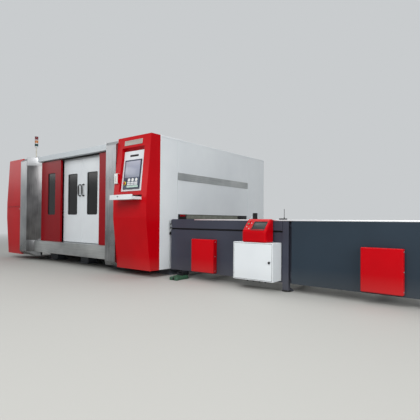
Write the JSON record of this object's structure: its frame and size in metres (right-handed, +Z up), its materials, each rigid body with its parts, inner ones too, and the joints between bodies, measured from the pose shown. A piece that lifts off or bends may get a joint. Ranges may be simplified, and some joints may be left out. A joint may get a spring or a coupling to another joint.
{
  "type": "fiber laser cutting machine",
  "caption": "Closed fiber laser cutting machine with sliding front doors, an operator screen and a sliding-pallet exchange table with a lift frame.",
  "frame": {"origin": "on the floor, below the middle of the whole machine", "axes": "+X runs along the machine towards the exchange table, +Y to its rear, +Z up"},
  "size_m": [9.22, 3.587, 2.7153],
  "materials": {
    "red_paint": "glossy",
    "white_paint": "satin",
    "slate_paint": "satin",
    "stainless": "brushed",
    "bright_steel": "machined",
    "dark_steel": "mill scale",
    "black_plastic": "satin",
    "grey_plastic": "satin",
    "tinted_glass": "tinted",
    "red_lens": "glossy",
    "amber_lens": "glossy",
    "green_lens": "glossy",
    "green_plastic": "glossy"
  },
  "bodies": {
    "machine": {"bed_frame": "slate_paint", "control_cabinet": "red_paint", "corner_pillar_front": "white_paint", "corner_pillar_rear": "white_paint", "cover_large": "red_paint", "cover_small": "red_paint", "door_sill": "stainless", "door_track": "bright_steel", "drive_motor": "slate_paint", "electrical_box": "white_paint", "end_trim": "stainless", "end_wall_panel": "white_paint", "fixed_panel_left": "red_paint", "fixed_panel_right": "red_paint", "fixed_window": "tinted_glass", "header_cover": "white_paint", "lamp_amber": "amber_lens", "lamp_green": "green_lens", "lamp_red": "red_lens", "laser_source": "white_paint", "left_end_block": "red_paint", "left_end_wall": "white_paint", "monitor": "black_plastic", "operator_console": "red_paint", "portal_post_left": "stainless", "portal_post_right": "stainless", "rail_front": "bright_steel", "rail_rear": "bright_steel", "rear_wall": "white_paint", "roof_panel": "white_paint", "screen_bezel": "white_paint", "signal_pole": "bright_steel", "slag_hopper": "dark_steel", "switch_box": "grey_plastic", "table_apron": "slate_paint", "table_frame": "slate_paint", "table_panel_far": "slate_paint", "table_panel_near": "slate_paint", "table_panel_rear": "slate_paint"},
    "door_left": {"door_left": "white_paint", "door_window_left": "tinted_glass", "door_handle_left": "black_plastic"},
    "door_right": {"door_right": "white_paint", "door_window_right": "tinted_glass", "door_handle_right": "black_plastic"},
    "gantry": {"gantry_beam": "white_paint"},
    "carriage": {"y_carriage": "slate_paint"},
    "head": {"cutting_head": "bright_steel", "cutting_nozzle": "dark_steel"},
    "lift": {"lift_frame": "bright_steel"},
    "upper_pallet": {"pallet_upper": "dark_steel"},
    "lower_pallet": {"pallet_lower": "dark_steel"},
    "drawer": {"keyboard_drawer": "white_paint", "keyboard": "black_plastic"},
    "box_door": {"box_door": "white_paint"},
    "box_lock": {"box_lock": "black_plastic"},
    "cabinet_stop": {"cabinet_stop_button": "red_lens"},
    "console_start": {"console_start_button": "green_plastic"},
    "console_stop": {"console_stop_button": "red_lens"}
  },
  "joints": [
    {"name": "left_door_slide", "type": "slide", "parent": "machine", "child": "door_left", "axis": [-1, 0, 0], "range_m": [0, 0.56]},
    {"name": "right_door_slide", "type": "slide", "parent": "machine", "child": "door_right", "axis": [1, 0, 0], "range_m": [0, 0.56]},
    {"name": "gantry_slide", "type": "slide", "parent": "machine", "child": "gantry", "axis": [1, 0, 0], "range_m": [-1.41, 1.41]},
    {"name": "carriage_slide", "type": "slide", "parent": "gantry", "child": "carriage", "axis": [0, 1, 0], "range_m": [-0.7, 0.7]},
    {"name": "head_slide", "type": "slide", "parent": "carriage", "child": "head", "axis": [0, 0, 1], "range_m": [-0.1, 0]},
    {"name": "lift_slide", "type": "slide", "parent": "machine", "child": "lift", "axis": [0, 0, 1], "range_m": [0, 0.2]},
    {"name": "upper_pallet_slide", "type": "slide", "parent": "lift", "child": "upper_pallet", "axis": [1, 0, 0], "range_m": [-3.3, 0]},
    {"name": "lower_pallet_slide", "type": "slide", "parent": "lift", "child": "lower_pallet", "axis": [1, 0, 0], "range_m": [-3.3, 0]},
    {"name": "drawer_slide", "type": "slide", "parent": "machine", "child": "drawer", "axis": [0, 1, 0], "range_m": [0, 0.169]},
    {"name": "box_door_hinge", "type": "hinge", "parent": "machine", "child": "box_door", "pos_m": [1.628, -1.345, 0.367], "axis": [0, 0, -1], "range_deg": [0, 110]},
    {"name": "box_lock_turn", "type": "hinge", "parent": "box_door", "child": "box_lock", "pos_m": [2.152, -1.3453, 0.367], "axis": [0, 1, 0], "range_deg": [0, 90]},
    {"name": "cabinet_stop_press", "type": "slide", "parent": "machine", "child": "cabinet_stop", "axis": [0, 0.993, -0.1183], "range_m": [0, 0.004], "stiffness_N_per_m": 400, "springref_m": -0.002},
    {"name": "console_start_press", "type": "slide", "parent": "machine", "child": "console_start", "axis": [0, 0.7331, -0.6801], "range_m": [0, 0.004], "stiffness_N_per_m": 400, "springref_m": -0.002},
    {"name": "console_stop_press", "type": "slide", "parent": "machine", "child": "console_stop", "axis": [0, 0.7331, -0.6801], "range_m": [0, 0.004], "stiffness_N_per_m": 400, "springref_m": -0.002}
  ]
}
